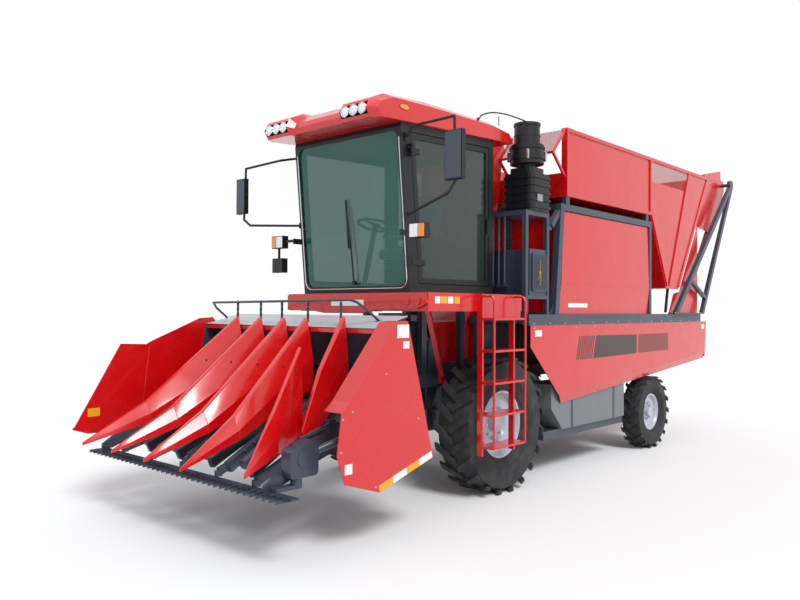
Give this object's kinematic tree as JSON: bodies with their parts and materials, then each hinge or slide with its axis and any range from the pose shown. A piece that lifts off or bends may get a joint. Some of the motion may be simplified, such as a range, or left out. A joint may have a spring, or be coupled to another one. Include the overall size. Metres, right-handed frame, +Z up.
{
  "type": "self-propelled corn harvester",
  "caption": "Self-propelled corn harvester with a lifting row header, glazed cab, steered rear wheels and an ear tank that tips rearward.",
  "frame": {"origin": "middle of the overall box on the ground; the drive axle is 1.670 m ahead of it", "axes": "+X to the machine's left, +Y rearward, +Z up"},
  "size_m": [3.06, 10.24, 4.3197],
  "materials": {
    "red_paint": "gloss",
    "dark_paint": "satin",
    "tyre_rubber": "matt",
    "rim_paint": "satin",
    "tinted_glass": "clear",
    "black_plastic": "matt",
    "lamp_lens": "gloss",
    "grey_paint": "satin",
    "bright_steel": "brushed",
    "cast": "matt",
    "seat_cover": "woven",
    "mesh_steel": "satin"
  },
  "bodies": {
    "machine": {"chassis_frame": "dark_paint", "side_beams": "dark_paint", "tank_frame": "dark_paint", "tank_frame_posts": "dark_paint", "dump_cylinder_brackets": "dark_paint", "rear_a_frames": "dark_paint", "tow_hitch": "dark_paint", "engine": "cast", "front_axle": "cast", "rear_axle": "cast", "side_panels": "red_paint", "husker_box": "red_paint", "ear_elevator": "red_paint", "cab_roof": "red_paint", "cab_platform": "red_paint", "ladder": "red_paint", "rear_side_plates": "red_paint", "cab_frame": "black_plastic", "mirrors": "black_plastic", "air_cleaner": "black_plastic", "cooler": "black_plastic", "steering_wheel": "black_plastic", "console": "black_plastic", "cab_glass": "tinted_glass", "lamps": "lamp_lens", "operator_seat": "seat_cover", "fuel_tanks": "grey_paint"},
    "header": {"feeder_house": "red_paint", "header_frame": "dark_paint", "row_dividers": "red_paint", "header_side_sheets": "red_paint", "row_units": "dark_paint", "cutter_bar": "dark_paint", "cutter_bar_arms": "dark_paint", "guard_tube": "dark_paint", "header_top_sheet": "grey_paint"},
    "header_auger": {"header_auger": "red_paint"},
    "cab_door": {"cab_door": "black_plastic", "door_glass": "tinted_glass"},
    "ear_tank": {"ear_tank": "red_paint", "ear_tank_sides": "red_paint", "ear_tank_wings": "red_paint", "ear_tank_arms": "red_paint", "tank_mesh": "mesh_steel"},
    "dump_barrels": {"dump_cylinder_barrels": "dark_paint"},
    "dump_rods": {"dump_cylinder_rods": "bright_steel"},
    "lift_barrels": {"lift_cylinder_barrels": "dark_paint"},
    "lift_rods": {"lift_cylinder_rods": "bright_steel"},
    "front_left_wheel": {"front_left_tyre": "tyre_rubber", "front_left_rim": "rim_paint"},
    "front_right_wheel": {"front_right_tyre": "tyre_rubber", "front_right_rim": "rim_paint"},
    "rear_left_wheel": {"rear_left_tyre": "tyre_rubber", "rear_left_rim": "rim_paint"},
    "rear_right_wheel": {"rear_right_tyre": "tyre_rubber", "rear_right_rim": "rim_paint"},
    "rear_left_knuckle": {"rear_left_knuckle": "cast"},
    "rear_right_knuckle": {"rear_right_knuckle": "cast"}
  },
  "joints": [
    {"name": "header_lift", "type": "hinge", "parent": "machine", "child": "header", "pos_m": [0, -2.02, 1.5], "axis": [1, 0, 0], "range_deg": [-4, 9.8]},
    {"name": "auger_spin", "type": "hinge", "parent": "header", "child": "header_auger", "pos_m": [0, -3.47, 1.12], "axis": [1, 0, 0], "continuous": true},
    {"name": "door_swing", "type": "hinge", "parent": "machine", "child": "cab_door", "pos_m": [0.832, -2.84, 2.9], "axis": [0, 0, -1], "range_deg": [0, 70]},
    {"name": "tank_dump", "type": "hinge", "parent": "machine", "child": "ear_tank", "pos_m": [0, 5.03, 4.08], "axis": [-1, 0, 0], "range_deg": [0, 75]},
    {"name": "dump_barrel_swing", "type": "hinge", "parent": "machine", "child": "dump_barrels", "pos_m": [0, 3.53, 1.99], "axis": [1, 0, 0], "range_deg": [-1, 24]},
    {"name": "dump_rod_slide", "type": "slide", "parent": "dump_barrels", "child": "dump_rods", "axis": [0, 0.6196, 0.7849], "range_m": [-0.005, 0.73]},
    {"name": "lift_barrel_swing", "type": "hinge", "parent": "machine", "child": "lift_barrels", "pos_m": [0, -1.97, 0.9], "axis": [1, 0, 0], "range_deg": [-5, 11]},
    {"name": "lift_rod_slide", "type": "slide", "parent": "lift_barrels", "child": "lift_rods", "axis": [0, -0.9973, -0.0735], "range_m": [-0.105, 0.045]},
    {"name": "front_left_roll", "type": "hinge", "parent": "machine", "child": "front_left_wheel", "pos_m": [0.95, -1.67, 0.715], "axis": [1, 0, 0], "continuous": true},
    {"name": "front_right_roll", "type": "hinge", "parent": "machine", "child": "front_right_wheel", "pos_m": [-0.95, -1.67, 0.715], "axis": [1, 0, 0], "continuous": true},
    {"name": "rear_left_steer", "type": "hinge", "parent": "machine", "child": "rear_left_knuckle", "pos_m": [0.8, 1.964, 0.5], "axis": [0, 0, 1], "range_deg": [-22, 22]},
    {"name": "rear_left_roll", "type": "hinge", "parent": "rear_left_knuckle", "child": "rear_left_wheel", "pos_m": [1.03, 1.964, 0.5], "axis": [1, 0, 0], "continuous": true},
    {"name": "rear_right_steer", "type": "hinge", "parent": "machine", "child": "rear_right_knuckle", "pos_m": [-0.8, 1.964, 0.5], "axis": [0, 0, 1], "range_deg": [-22, 22]},
    {"name": "rear_right_roll", "type": "hinge", "parent": "rear_right_knuckle", "child": "rear_right_wheel", "pos_m": [-1.03, 1.964, 0.5], "axis": [1, 0, 0], "continuous": true}
  ],
  "couplings": [
    {"joint": "rear_right_steer", "follows": "rear_left_steer", "ratio": 1},
    {"joint": "dump_barrel_swing", "follows": "tank_dump", "ratio": 0.303},
    {"joint": "dump_rod_slide", "follows": "tank_dump", "m_per_rad": 0.55195},
    {"joint": "lift_barrel_swing", "follows": "header_lift", "ratio": 1.04},
    {"joint": "lift_rod_slide", "follows": "header_lift", "m_per_rad": -0.6}
  ]
}
